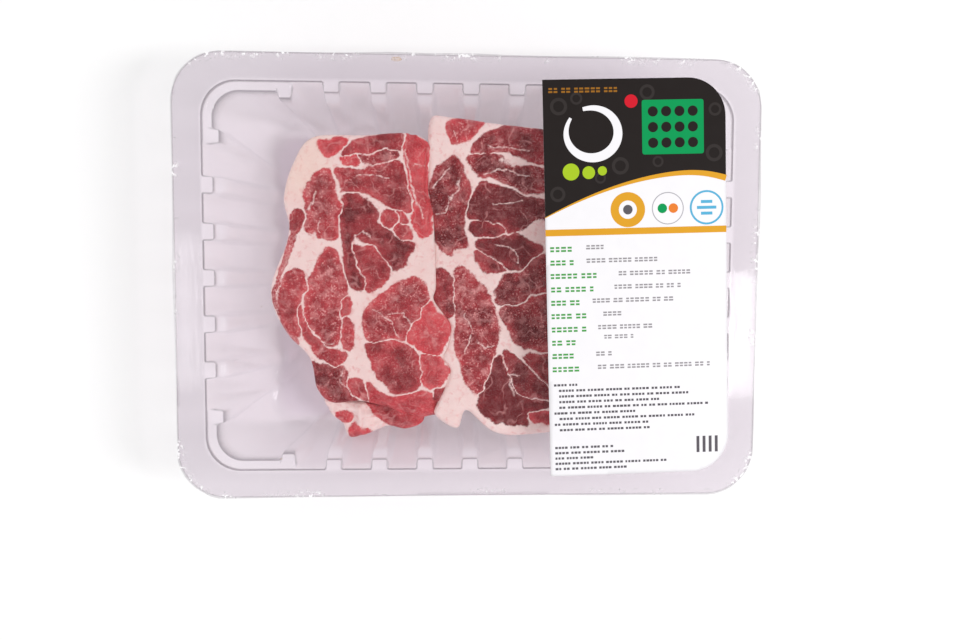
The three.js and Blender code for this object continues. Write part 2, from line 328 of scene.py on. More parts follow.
def meat_material():
    """Raw pork: red muscle and white fat by the mesh's values, with marbling whose pale flecks also serve as
    painted highlights, veins and a moist shine.
    """
    s = Surface("raw_pork")
    fat, tone, marble, warm = (s.value(name) for name in ("fat", "tone", "marble", "warm"))
    cloud = s.noise(8.0, 3.0, 0.55)
    fine = s.noise(0.9, 4.0, 0.65, 0.6)
    deep = s.blend(cloud, srgb(94, 5, 15), srgb(121, 13, 27))
    bright = s.blend(cloud, srgb(206, 48, 60), srgb(226, 90, 96))
    uneven = s.math("ADD", s.spread(cloud, 0.3, 0.7, -0.2, 0.22), s.spread(fine, 0.3, 0.7, -0.1, 0.1))
    red = s.blend(s.math("ADD", tone, uneven), deep, bright)
    ridge = s.math("ABSOLUTE", s.math("SUBTRACT", s.noise(9.0, 2.0, 0.4), 0.5))
    vein = s.math("MULTIPLY", s.spread(ridge, 0.0, 0.03, 0.8, 0.0), s.spread(s.noise(5.0), 0.4, 0.6))
    # Pale flecks of marbling, which also stand in for tiny wet glints as painted highlights.
    flecks = s.math("MULTIPLY", s.spread(s.noise(0.8, 1.0, 0.5), 0.55, 0.7), marble)
    clump = s.spread(s.noise(4.0, 3.0), 0.4, 0.62, 0.15, 1.0)
    milky_most = s.math("ADD", s.math("MULTIPLY", marble, 0.4), 0.06)
    milky = s.math("MULTIPLY", s.spread(s.noise(3.0, 4.0, 0.6), 0.42, 0.7), milky_most)
    pale = s.math("ADD", s.math("MULTIPLY", flecks, clump), s.math("MULTIPLY", vein, 0.5))
    marbled = s.blend(s.math("MINIMUM", s.math("ADD", pale, milky), 0.85), red, srgb(230, 164, 162))
    white = s.blend(s.noise(7.0, 3.0), srgb(254, 236, 231), srgb(246, 212, 208))
    pinker = s.blend(s.spread(s.noise(2.6, 4.0, 0.6, 0.3), 0.5, 0.74, 0.0, 0.6), white, srgb(232, 160, 158))
    peach = s.blend(s.math("MULTIPLY", warm, 0.4), pinker, srgb(248, 216, 196))
    ragged = s.spread(s.math("ADD", fat, s.spread(fine, 0.25, 0.75, -0.26, 0.26)), 0.12, 0.84)
    colour = s.blend(ragged, marbled, peach)
    shine = s.spread(s.noise(1.6, 3.0), 0.3, 0.7, 0.2, 0.42)
    bump = s.add("ShaderNodeBump", Height=s.noise(1.0, 5.0, 0.6), Strength=0.7, Distance=0.45 * MM)
    body = s.add("ShaderNodeBsdfPrincipled", Base_Color=colour, Roughness=shine, Normal=bump.outputs[0])
    body.inputs["Subsurface Weight"].default_value = 0.06
    body.inputs["Subsurface Radius"].default_value = (1.5 * MM, 0.5 * MM, 0.4 * MM)
    body.inputs["Specular IOR Level"].default_value = 0.15
    return s.finish(body.outputs[0])


# Tray: one formed sheet, from the flange's edge over the ribbed walls to the floor.
# Each step of a profile is a height, a share of the way from mouth to floor outline, an inward step,
# and how dark the painted shade line along the bend runs there.

PROFILES = {
    "lobe": [(TOP, 0, -0.3, 0), (TOP, 0, 0, 1), (TOP - 0.5, 0.01, 0.1, 1), (TOP - 1.2, 0.025, 0.2, 0),
             (TOP - 2, 0.04, 0.25, 0), (TOP - 3, 0.06, 0.3, 0), (TOP - 4, 0.08, 0.3, 0),
             (24, 0.3, 0.2, 0), (9, 0.56, 0, 0), (2.2, 0.78, 0, 0), (0.1, 1, 0, 0)],
    "rib": [(TOP, 0, -0.3, 0), (TOP, 0, 0, 0), (TOP - 0.5, 0.01, 2, 0), (TOP - 0.8, 0.02, 3.3, 0),
            (TOP - 0.9, 0.02, 3.6, 1), (TOP - 3, 0.06, 3.9, 0.1), (TOP - 4, 0.08, 6.5, 0),
            (24, 0.3, 5.4, 0), (9, 0.56, 4, 0), (2.2, 0.78, 2.6, 0), (0.1, 1, 1.7, 0)],
    "shelf": [(TOP, 0, -0.3, 0), (TOP, 0, 0, 1), (TOP - 0.5, 0.01, 0.1, 1), (TOP - 2.2, 0.02, 0.4, 0),
              (TOP - 2.5, 0.03, 2.5, 0), (TOP - 2.7, 0.03, 2.9, 1), (TOP - 3.7, 0.06, 3.3, 0.6),
              (24, 0.3, 1.6, 0), (9, 0.56, 0, 0), (2.2, 0.78, 0, 0), (0.1, 1, 0, 0)],
    "pad": [(TOP, 0, -0.3, 0), (TOP, 0, 0, 1), (TOP - 0.5, 0.01, 0.1, 1), (TOP - 2.2, 0.02, 0.4, 0),
            (TOP - 2.5, 0.03, 5.1, 0), (TOP - 2.7, 0.03, 5.5, 1), (TOP - 3.7, 0.06, 6.1, 0.6),
            (24, 0.3, 4.6, 0), (9, 0.56, 3, 0), (2.2, 0.78, 1.6, 0), (0.1, 1, 1, 0)],
}
# The flange's outer lip, with painted shade lines along its turned edge.
LIP = [(TOP - 0.9, 0, 0, 0.8), (TOP - 0.35, 0, 0.15, 0.8), (TOP, 0, 0.7, 0)]
# How far ribs and pads run out over the floor: distance from the wall, and height of their hollow
TOE = [(2.0, 0.9), (4.5, 0.9), (6.5, 0.35), (8.0, 0.0)]
FLOOR_HEIGHT = 0.1
STATION = 0.46
CORNER_STEPS = 26


def fine_profile(steps, parts=4):
    """The profile with more steps and slightly rounded turns."""
    keys = np.array(steps, float)
    at = np.linspace(0, len(keys) - 1, (len(keys) - 1) * parts + 1)
    fine = np.stack([np.interp(at, np.arange(len(keys)), keys[:, k]) for k in range(4)], 1)
    for _ in range(2):
        fine[1:-1] = (fine[:-2] + 2 * fine[1:-1] + fine[2:]) / 4
    return fine


def side_points(side):
    """One side of the tray and the corner after it, as levels of points, each with how dark its painted
    shade line is.
    """
    shape, half = (SHORT_SIDE, 1) if side % 2 else (LONG_SIDE, 0)
    profiles = {kind: fine_profile(steps) for kind, steps in PROFILES.items()}
    angle = side * math.pi / 2
    along = np.array([math.cos(angle), math.sin(angle)])
    outward = np.array([math.sin(angle), -math.cos(angle)])
    straight = MOUTH[half] - MOUTH[2]
    u = np.linspace(-straight, straight, int(straight * 2 / STATION))
    corner = np.linspace(0, math.pi / 2, CORNER_STEPS)[1:-1]
    turn = np.concatenate([np.zeros(u.size), corner])
    u = np.concatenate([u, np.full(corner.size, straight)])
    nearest_rib = np.clip(np.round(u / RIB_PITCH), -shape["ribs"], shape["ribs"]) * RIB_PITCH
    from_rib, from_pad = np.abs(u - nearest_rib), np.abs(np.abs(u) - shape["pad"])
    depth = np.clip((TOP - profiles["lobe"][:, 0]) / TOP, 0, 1)[:, None]
    below = smoothstep(0.08, 0.3, depth)
    shelf_from = shape["pad"] - SHELF_END - SHELF_SOFTER * below
    shelf_to = shape["pad"] + SHELF_END + SHELF_SOFTER * below
    shelf = smoothstep(shelf_from, shelf_to, np.abs(u))[..., None]
    rib = smoothstep(RIB_ROOT + RIB_SOFTER[0] * below, RIB_TIP - RIB_SOFTER[1] * below, from_rib)
    pad = smoothstep(PAD_HALF + PAD_SOFTER[0] * below, PAD_TIP - PAD_SOFTER[1] * below, from_pad)
    steps = profiles["lobe"][:, None] * (1 - shelf) + profiles["shelf"][:, None] * shelf
    steps = steps * (1 - rib)[..., None] + profiles["rib"][:, None] * rib[..., None]
    steps = steps * (1 - pad)[..., None] + profiles["pad"][:, None] * pad[..., None]
    # Painted shade lines also run along the flanks of ribs and pads near the mouth.
    flank = np.maximum(rib * (1 - rib), pad * (1 - pad) * smoothstep(0.02, 0.05, depth)) * 4
    flank = smoothstep(0.3, 1.0, flank) * smoothstep(0.09, 0.06, depth) * smoothstep(0, 0.004, depth)
    steps[..., 3] = np.maximum(smoothstep(0.4, 0.95, steps[..., 3]), 0.8 * flank)
    lip = np.repeat(np.array(LIP)[:, None], u.size, 1)
    height, share, inward, line = np.moveaxis(np.concatenate([lip, steps]), 2, 0)
    on_lip = (np.arange(len(height)) < len(LIP))[:, None, None]
    outline = np.where(on_lip, FLANGE, np.array(MOUTH) + share[..., None] * (np.array(FLOOR) - MOUTH))
    far, reach = outline[..., half] - outline[..., 2], outline[..., 1 - half] - outline[..., 2]
    beyond = np.abs(u) - shape["keep"]
    stretched = shape["keep"] + beyond * (far - shape["keep"]) / (straight - shape["keep"])
    place = (np.where(beyond > 0, stretched, np.abs(u)) * np.sign(u))[..., None]
    normal = outward * np.cos(turn)[:, None] + along * np.sin(turn)[:, None]
    point = outward * reach[..., None] + along * place + normal * (outline[..., 2] - inward)[..., None]
    levels = [np.concatenate([point, height[..., None], line[..., None]], 2)]
    raised = np.maximum(rib[-1], pad[-1])
    for step, rise in TOE:
        floor_edge = point[-1] * (1 - step / np.hypot(*point[-1].T))[:, None]
        levels.append(np.stack([*floor_edge.T, FLOOR_HEIGHT + rise * raised, np.zeros(u.size)], 1)[None])
    return np.concatenate(levels)


def make_tray(material):
    rings = np.concatenate([side_points(side) for side in range(4)], 1)
    levels, count, _ = rings.shape
    number = np.arange(levels * count).reshape(levels, count)
    after = np.roll(number, -1, 1)
    quads = np.stack([number[:-1], after[:-1], after[1:], number[1:]], -1).reshape(-1, 4)
    points = rings[..., :3].reshape(-1, 3)
    faces = quads.tolist() + [number[-1].tolist()]
    piece = add_piece("tray_formed", points, faces, [material], "tray")
    # The line values carry the painted shade along the bends.
    add_values(piece, line=rings[..., 3].ravel())


# Lid film and label

def film_height(x, y):
    """Slight waves in the tight film, which the label holds flat."""
    to_mouth = np.minimum(MOUTH[0] - np.abs(x), MOUTH[1] - np.abs(y))
    free = smoothstep(32.0, 18.0, x) * smoothstep(-1.0, 12.0, to_mouth)
    waves = 0.13 * hills(x, y * 0.6, 27.0, 3) + 0.05 * hills(x * 0.7, y, 9.0, 4)
    return FILM_LEVEL + free * waves


def make_film(material):
    """The film, cut a little unevenly past the flange and sealed outside the mouth, with painted glints near
    its edge.
    """
    loop = rounded_rectangle(FLANGE[0], FLANGE[1], [FLANGE[2]] * 4, 14)
    spans = zip(loop, np.roll(loop, -1, 0))
    dense = np.concatenate([np.linspace(a, b, 12, endpoint=False) for a, b in spans])
    away = 0.15 + 0.45 * hills(*dense.T, 31.0, 8) + 0.2 * hills(*dense.T, 3.1, 9)
    dense = dense + (away / np.hypot(*dense.T))[:, None] * dense
    x, y, depth, faces, _, _, _ = clipped_grid(dense, FILM_CELL)
    points = np.stack([x, y, film_height(x, y)], 1)
    piece = add_piece("film_sheet", points, faces, [material], "lid_film")
    mouth = rounded_rectangle(MOUTH[0], MOUTH[1], [MOUTH[2]] * 4, 14)
    sealed = smoothstep(0.2, -1.0, distance_inside(x, y, mouth)[0])
    # Painted glints: a mask near the film's edge, strongest at the corners, for the white flecks.
    at_corner = smoothstep(0.0, 14.0, np.abs(x) - FLANGE[0] + np.abs(y) - FLANGE[1] + 1.4 * FLANGE[2])
    crumple = smoothstep(3.4, 1.2, depth) * smoothstep(0.1, 0.6, hills(x, y, 6.0, 21) + 0.6 * at_corner)
    # Painted shade: a dark line along the film's cut edge; the band sealed outside the mouth is tinted
    # darker too.
    line = np.maximum(0.6 * smoothstep(0.5, 0.0, depth), 0.29 * sealed)
    add_values(piece, line=line, crumple=crumple)


def label_place(u, v, level=0.0):
    """From the label's own millimetres to the pack's."""
    c, s = math.cos(LABEL_TURN), math.sin(LABEL_TURN)
    return LABEL_CENTRE[0] + u * c - v * s, LABEL_CENTRE[1] + u * s + v * c, LABEL_LEVEL + level


def make_label(material):
    half_x, half_y = LABEL_SIZE[0] / 2, LABEL_SIZE[1] / 2
    radii = [LABEL_CORNER, LABEL_SHARP_CORNER, LABEL_SHARP_CORNER, LABEL_CORNER]
    loop = rounded_rectangle(half_x, half_y, radii)
    loop = np.array([label_place(u, v)[:2] for u, v in loop])
    x, y, _, faces, _, _, _ = clipped_grid(loop, LABEL_CELL)
    points = np.stack([x, y, np.full(x.size, LABEL_LEVEL)], 1)
    piece = add_piece("label_stock", points, faces, [material], "label")
    thick = piece.modifiers.new("thickness", "SOLIDIFY")
    thick.thickness, thick.offset = LABEL_THICKNESS * MM, -1


class Print:
    """Flat printed shapes on the label, in the label's own millimetres from its centre."""

    def __init__(self, colours):
        self.slots = list(colours)
        self.materials = [printed("ink_" + name, colour) for name, colour in colours.items()]
        self.points, self.faces, self.inks = [], [], []

    def shape(self, ink, outline, level=1):
        start = len(self.points)
        self.points += [label_place(u, v, PRINT_STEP * level) for u, v in outline]
        self.faces.append(range(start, start + len(outline)))
        self.inks.append(self.slots.index(ink))

    def bar(self, ink, u, v, width, height, level=1):
        a, b = width / 2, height / 2
        self.shape(ink, [(u - a, v - b), (u + a, v - b), (u + a, v + b), (u - a, v + b)], level)

    def disc(self, ink, u, v, radius, level=1):
        turns = np.linspace(0.0, 2 * math.pi, 40)
        self.shape(ink, [(u + radius * math.cos(a), v + radius * math.sin(a)) for a in turns], level)

    def stroke(self, ink, line, widths, level=1, steps=40):
        """A brush stroke along a smooth line, with a width at each of its points."""
        at, keys = np.linspace(0, len(line) - 1, steps), np.arange(len(line))
        p = np.array(line, float)
        u, v, w = (np.interp(at, keys, column) for column in (p[:, 0], p[:, 1], np.array(widths, float)))
        for _ in range(6):
            u[1:-1], v[1:-1] = (u[:-2] + 2 * u[1:-1] + u[2:]) / 4, (v[:-2] + 2 * v[1:-1] + v[2:]) / 4
        du, dv = np.gradient(u), np.gradient(v)
        size = np.hypot(du, dv)
        nu, nv = -dv / size * w / 2, du / size * w / 2
        near, far = list(zip(u - nu, v - nv)), list(zip(u + nu, v + nv))
        for k in range(steps - 1):
            self.shape(ink, [near[k], near[k + 1], far[k + 1], far[k]], level)

    def blocks(self, ink, u, v, width, height, rows, seed, level=1):
        """A line of small bars in groups, one or two rows deep, which stands for text and says nothing."""
        chance = np.random.default_rng(seed)
        at, left = u, chance.integers(2, 6)
        while at + height * 0.8 < u + width:
            wide = height * chance.uniform(0.6, 0.86)
            for row in range(rows):
                place = v + height * (row + 0.5 - rows / 2) / rows
                inked = wide * chance.uniform(0.8, 1.0)
                self.bar(ink, at + wide / 2, place, inked, 0.6 * height / rows, level)
            left -= 1
            at += wide + height * (0.16 if left else 0.62)
            left = left or chance.integers(2, 6)

    def finish(self):
        piece = add_piece("label_print", self.points, self.faces, self.materials, None,
                          smooth=False)
        piece.data.polygons.foreach_set("material_index", self.inks)


# Plain rings in the label's dark field: place and radius
RINGS = ((-30, 68, 3.4), (-31, 34, 3.0), (-6, 44.6, 3.4), (5, 73, 3.0), (31.5, 49, 3.4), (-23, 71, 2.4),
         (32, 66, 2.6), (-14, 40, 2.2), (9, 46, 2.2))
# Text lines, as place and length: ten headings with their entries, small print, and the last lines
HEADINGS = [11.2, 11.2, 21.4, 18.4, 12.8, 17.4, 15.4, 11.8, 11.8, 11.8]
ENTRIES = [(14.4, 10), (14.4, 31), (27.2, 29), (25.4, 27), (16.6, 33), (20.8, 8.4), (18.6, 23), (0, 0),
           (17.6, 8), (18.2, 47)]
SMALL_PRINT = [(0, 10), (2, 50), (2, 53), (2, 41), (2, 61), (0, 33), (2, 55), (0, 39), (2, 37)]
LAST_LINES = (25, 29, 16, 46, 30)


def print_header(p):
    """The dark field with its gold edge, a brush ring, round dots and a dotted green block."""
    half_x, half_y = LABEL_SIZE[0] / 2, LABEL_SIZE[1] / 2
    corner_x, corner_y = half_x - LABEL_CORNER, half_y - LABEL_CORNER
    corner = [(corner_x + LABEL_CORNER * math.cos(a), corner_y + LABEL_CORNER * math.sin(a))
              for a in np.linspace(0, math.pi / 2, 14)]
    sweep = [(u, 41.5 - (2.4 * ((u - 22) / 14) ** 2 if u > 22 else 16.5 * ((22 - u) / 58) ** 1.8))
             for u in np.linspace(-half_x, half_x, 25)]
    p.shape("black", sweep + corner + [(-half_x, half_y)])
    p.stroke("gold", sweep, np.linspace(0.3, 2.4, len(sweep)), 2)
    for u, v, size in RINGS:
        p.disc("dark_grey", u, v, size, 2)
        p.disc("black", u, v, size * 0.62, 3)
    p.bar("gold", 0, 18.95, LABEL_SIZE[0], 2.6)
    p.blocks("brown", -34, 74.2, 29, 2.4, 2, 11, 4)
    ring = [(-17 + 10.4 * math.cos(a), 57.6 + 9.8 * math.sin(a)) for a in np.linspace(2.5, 8.2, 24)]
    p.stroke("white", ring, [0.6 + 3.1 * math.sin((k + 1.5) / 27 * math.pi) for k in range(24)], 4, 70)
    for u, v, size in ((-25.6, 42.6, 3.3), (-18.6, 42.2, 2.5), (-13.2, 42.8, 1.8)):
        p.disc("lime", u, v, size, 5)
    p.disc("red", -1.4, 69.6, 2.6, 4)
    p.shape("green", rounded_rectangle(12.3, 10.6, [0.9] * 4, 3) + (15.1, 59.4), 4)
    for row in range(3):
        for column in range(4):
            p.disc("black", 7.15 + 5.3 * column, 65.5 - 6.1 * row, 2.0, 5)


def print_marks(p):
    """Three plain round marks in a row."""
    p.disc("gold", -3.3, 27.4, 6.9)
    p.disc("white", -3.3, 27.4, 3.6, 2)
    p.disc("ink", -3.3, 27.4, 1.9, 3)
    p.disc("silver", 12.7, 27.6, 6.4)
    p.disc("white", 12.7, 27.6, 6.0, 2)
    p.disc("green", 10.5, 27.6, 1.9, 3)
    p.disc("orange", 14.9, 27.6, 1.9, 3)
    p.disc("blue", 28.3, 27.6, 6.8)
    p.disc("white", 28.3, 27.6, 6.0, 2)
    for row, width in enumerate((4.6, 7.8, 4.6)):
        p.bar("blue", 28.3, 29.9 - 2.3 * row, width, 1.2, 3)


def print_lines(p):
    """Ten headings with their entries, small print, and four upright bars."""
    for row, (width, (start, length)) in enumerate(zip(HEADINGS, ENTRIES)):
        v = 12.4 - 5.3 * row
        p.blocks("text_green", -34.6, v, width, 2.5, 2, 20 + row)
        p.blocks("grey", -34.6 + start, v + 0.6, length, 2.1, 2, 40 + row)
    p.blocks("grey", -13.6, -22.7, 12.8, 1.9, 2, 60)
    for row, (start, length) in enumerate(SMALL_PRINT):
        p.blocks("ink", -34.2 + start, -41.6 - 2.27 * row, length, 1.5, 1, 70 + row)
    for row, length in enumerate(LAST_LINES):
        p.blocks("ink", -34.2, -66.9 - 2.15 * row, length, 1.5, 1, 90 + row)
    for column in range(4):
        p.bar("ink", 23.9 + 2.5 * column, -67.4, 1.2, 6.6)


def make_print():
    p = Print({
        "black": srgb(36, 31, 30), "dark_grey": srgb(52, 47, 46), "gold": srgb(216, 156, 42),
        "brown": srgb(150, 100, 34), "white": srgb(236, 234, 237), "lime": srgb(164, 194, 40),
        "red": srgb(204, 30, 46), "green": srgb(10, 148, 82), "text_green": srgb(78, 156, 80),
        "grey": srgb(150, 146, 150), "ink": srgb(92, 88, 94), "blue": srgb(86, 170, 206),
        "silver": srgb(172, 170, 176), "orange": srgb(226, 124, 50),
    })
    print_header(p)
    print_marks(p)
    print_lines(p)
    p.finish()


# Slices of meat. A muscle is (brightness, marbling, outline); what no muscle covers is fat.

SEAM = [(-17, 55), (-16.8, 45), (-17.3, 37), (-15.4, 28), (-14.4, 12), (-14, -3), (-14.8, -9), (-8, -19),
        (-9, -28), (-11, -33), (-8, -39), (-12.7, -51), (-14, -57)]
LEFT_OUTLINE = [(-23, -58), (-34, -54), (-45, -51), (-57, -51.5), (-63, -46), (-66, -33), (-75, -23),
                (-81, -11), (-81, -1), (-75.5, 13), (-74, 22), (-76, 33), (-72, 47), (-64, 57.5),
                (-44, 58.5), (-25, 59.5)]
RIGHT_OUTLINE = [(-15.8, 66), (-8, 66.3), (12, 63.8), (34, 61.5), (56, 58), (70, 44), (75, 16),
                 (74, -20), (67, -48), (50, -61), (24, -65.6), (10, -64), (-1, -55), (-5, -62.5)]
LOWER_OUTLINE = [(-66, -36), (-61.5, -50), (-58, -58), (-53.5, -62), (-50.5, -67.5), (-42, -65.5),
                 (-34, -62.8), (-27, -64), (-20, -61.5), (-17, -56), (-5, -52), (45, -52), (66, -36),
                 (68, 6), (60, 40), (30, 52), (-20, 53), (-58, 50), (-70, 20), (-74, -10)]

LEFT_MUSCLES = [
    (0.85, 0.35, [(-60.5, 56.5), (-56.5, 55.5), (-51, 56.5), (-53.5, 52), (-58, 49.5), (-60.5, 52.5)]),
    (0.35, 0.3, [(-47.5, 55.5), (-38.5, 57.5), (-28.5, 59), (-26.5, 56), (-29.5, 52), (-34.5, 53),
                 (-40.5, 51), (-46, 51), (-51.5, 49.5), (-50, 52.5)]),
    (0.8, 0.8, [(-51.5, 49.5), (-47, 50), (-45.5, 48.5), (-48, 46.5), (-51, 47.5)]),
    (0.3, 0.95, [(-44.5, 49), (-40.5, 51), (-33.5, 52.5), (-30, 51), (-31.5, 48.5), (-37.5, 47.5)]),
    (0.4, 0.45, [(-53.5, 43.5), (-49, 44.5), (-44, 44.5), (-36.5, 47), (-31.5, 47.5), (-27.5, 46),
                 (-26, 40), (-24.5, 30.5), (-26.5, 28), (-32.5, 29.5), (-38.5, 33), (-43.5, 35.5),
                 (-50.5, 36), (-52.5, 39.5)]),
    (0.5, 0.75, [(-61.5, 42.5), (-57, 43.5), (-55.5, 39), (-54, 32.5), (-53, 28.5), (-54, 22.5),
                 (-54, 16.5), (-57, 16), (-61, 17), (-62, 20.5), (-64, 18.5), (-66, 20.5), (-66, 27.5),
                 (-66.5, 35.5)]),
    (0.3, 0.2, [(-72, 26), (-70, 27.5), (-68, 26), (-68.5, 22), (-70.5, 19), (-72.5, 20.5)]),
    (0.12, 0.2, [(-51, 33.5), (-46, 33.5), (-41, 31), (-37.5, 26.5), (-38.5, 22.5), (-34, 20.5),
                 (-28.5, 16.5), (-25, 15.5), (-23.5, 13), (-26, 7.5), (-29.5, 4), (-32.5, 5),
                 (-36.5, 11.5), (-41.5, 15), (-47.5, 19), (-48.5, 11.5), (-46, 5), (-43.5, 0), (-44, -4),
                 (-48, -3.5), (-50.5, 3), (-51.5, 14.5)]),
    (0.3, 0.25, [(-47, 13), (-42.5, 13), (-38.5, 12), (-35, 7.5), (-33.5, 2), (-36.5, -2.5), (-40, -5),
                 (-42.5, -3.5), (-43, 3), (-46, 8)]),
    (0.4, 0.3, [(-35.5, 25), (-33.5, 28), (-31, 27.5), (-30, 24), (-31.5, 22), (-34, 22)]),
    (0.5, 0.3, [(-30, 28), (-28, 27), (-26, 24), (-27.5, 22.5), (-29.5, 24.5)]),
    (0.6, 0.5, [(-30, 21), (-28.5, 22.5), (-26, 20.5), (-25, 18), (-26.5, 16.5), (-29.5, 17.5)]),
    (0.45, 1, [(-59.5, 11), (-56, 10.5), (-53.5, 6), (-52.5, 1.5), (-51, -3), (-51, -8), (-53, -9.5),
               (-53, -17.5), (-54, -24.5), (-56, -27.5), (-61, -24), (-65.5, -18.5), (-67, -12.5),
               (-66, -4), (-63, 3.5)]),
    (0.55, 0.5, [(-51.5, -9), (-49.5, -9), (-49, -12.5), (-50, -15.5), (-52, -14.5)]),
    (0.55, 0.5, [(-50.5, -16.5), (-49, -18.5), (-48.5, -23), (-50, -29), (-52.5, -26.5), (-53, -21.5)]),
    (0.4, 0.55, [(-71.5, 3.5), (-68, 1), (-67, -3), (-69.5, -9), (-70.5, -15.5), (-71, -23),
                 (-74.5, -20), (-77.5, -14), (-77, -6), (-75, 0)]),
    (0.45, 0.35, [(-69, -12), (-67.5, -17.5), (-62, -24.5), (-58, -29), (-53, -30), (-51.5, -32.5),
                  (-55, -35.5), (-59.5, -34), (-64.5, -27.5), (-68.5, -22), (-69.5, -16.5)]),
    (0.25, 0.5, [(-65, -36), (-59, -36), (-52, -36.5), (-51, -41), (-50.5, -45), (-47, -49.5),
                 (-49, -51), (-56.5, -51.5), (-61.5, -47.5), (-65, -42)]),
    (0.5, 0.4, [(-50, -42.5), (-48, -41.5), (-44.5, -42.5), (-42.5, -46), (-41.5, -50), (-44.5, -49.5),
                (-49, -46)]),
    (0.5, 0.8, [(-43.5, -18.5), (-41.5, -12.5), (-34.5, -6), (-26.5, -1), (-21.5, 0), (-18, -3.5),
                (-17.5, -9), (-20, -11.5), (-20.5, -15.5), (-25, -19.5), (-26.5, -25), (-33.5, -24),
                (-41.5, -25)]),
    (0.85, 0.55, [(-19.5, -11), (-16.5, -10.5), (-13, -14.5), (-8, -17.5), (-7.5, -20.5), (-10.5, -27.5),
                  (-14, -31), (-19, -30.5), (-24.5, -26.5), (-25.5, -21.5), (-21.5, -15.5)]),
    (0.45, 0.35, [(-42, -27), (-34.5, -26), (-28, -27), (-22.5, -32.5), (-20.5, -37), (-20.5, -43.5),
                  (-24.5, -47), (-30.5, -46.5), (-36.5, -41), (-41, -33)]),
    (0.7, 0.45, [(-20, -32.5), (-13, -31.5), (-11, -35.5), (-8, -38.5), (-11, -42.5), (-15, -45.5),
                 (-20, -42.5), (-20, -37)]),
    (0.15, 0.2, [(-14, -47), (-10, -46), (-9.5, -48), (-12.5, -51), (-16, -51)]),
]
# Cut sides of the left slice that lean outward and show from above
LEFT_SIDES = [
    (0.9, 0.3, [(-25, 59.5), (-26.5, 55), (-25.5, 48), (-24.5, 41), (-23.5, 35), (-22.5, 29.5),
                (-23.5, 25.5), (-22.5, 20.5), (-20, 18), (-17, 20), (-15.5, 28), (-18, 37), (-17.5, 46),
                (-17.5, 55), (-22, 58)]),
    (0.7, 0.35, [(-41.5, -43), (-37, -47.3), (-30.5, -49.3), (-24.5, -48.5), (-19.5, -47.3), (-15, -49),
                 (-12, -52), (-13.5, -58), (-22, -59), (-34, -55), (-41, -50)]),
]
# Red skin side along the left edge, and fine fat lines inside the muscles
LEFT_STRIP = [(-71.5, 18.5), (-74.3, 10), (-77.8, 0.5), (-79.6, -6), (-79, -13), (-75.5, -20.5),
              (-71.5, -26)]
LEFT_LINES = [
    (0.5, [(-62.5, 35), (-64, 31), (-66, 28.5)]), (0.35, [(-61, 18), (-62, 25)]),
    (0.45, [(-47, 18.5), (-43.5, 20), (-41, 17)]),
    (0.4, [(-39.5, -12.5), (-36, -15.5), (-32, -18), (-29, -24)]),
    (0.45, [(-24, -19), (-28, -14), (-34, -14.5)]), (0.5, [(-46, 42), (-40, 42.5), (-33, 41)]),
    (0.7, [(-26, 52), (-24, 42), (-22.5, 33), (-19.5, 26)]), (0.35, [(-23, 47), (-18.5, 46)]),
    (0.4, [(-64, -22), (-60, -25.5), (-56, -27)]), (0.35, [(-52, -37), (-54, -42), (-50, -45.5)]),
]

